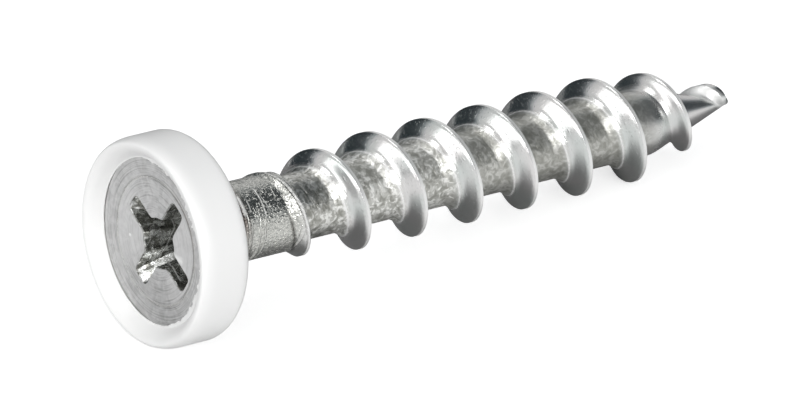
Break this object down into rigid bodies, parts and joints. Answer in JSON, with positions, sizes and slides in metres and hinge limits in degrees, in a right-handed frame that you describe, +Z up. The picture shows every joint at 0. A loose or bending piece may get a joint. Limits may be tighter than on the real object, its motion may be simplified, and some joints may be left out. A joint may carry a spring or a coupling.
{
  "type": "mounting screw",
  "caption": "Self-tapping mounting screw with a coarse thread, a flat cross-recessed steel head and a white plastic collar moulded round the head's rim; shown lying as it rests.",
  "frame": {"origin": "centre of the lying screw's outline, on the surface it rests on", "axes": "+X runs from the head to the point, which dips 5.1 degrees; +Z is up from the surface; +Y completes the frame"},
  "size_m": [0.0322, 0.0094, 0.0094],
  "materials": {
    "plated_steel": "bright zinc plate over rolled and turned steel",
    "white_plastic": "glossy as moulded, with a little flash at the mouth"
  },
  "bodies": {
    "root": {"steel_screw": "plated_steel", "head_collar": "white_plastic"}
  },
  "joints": []
}
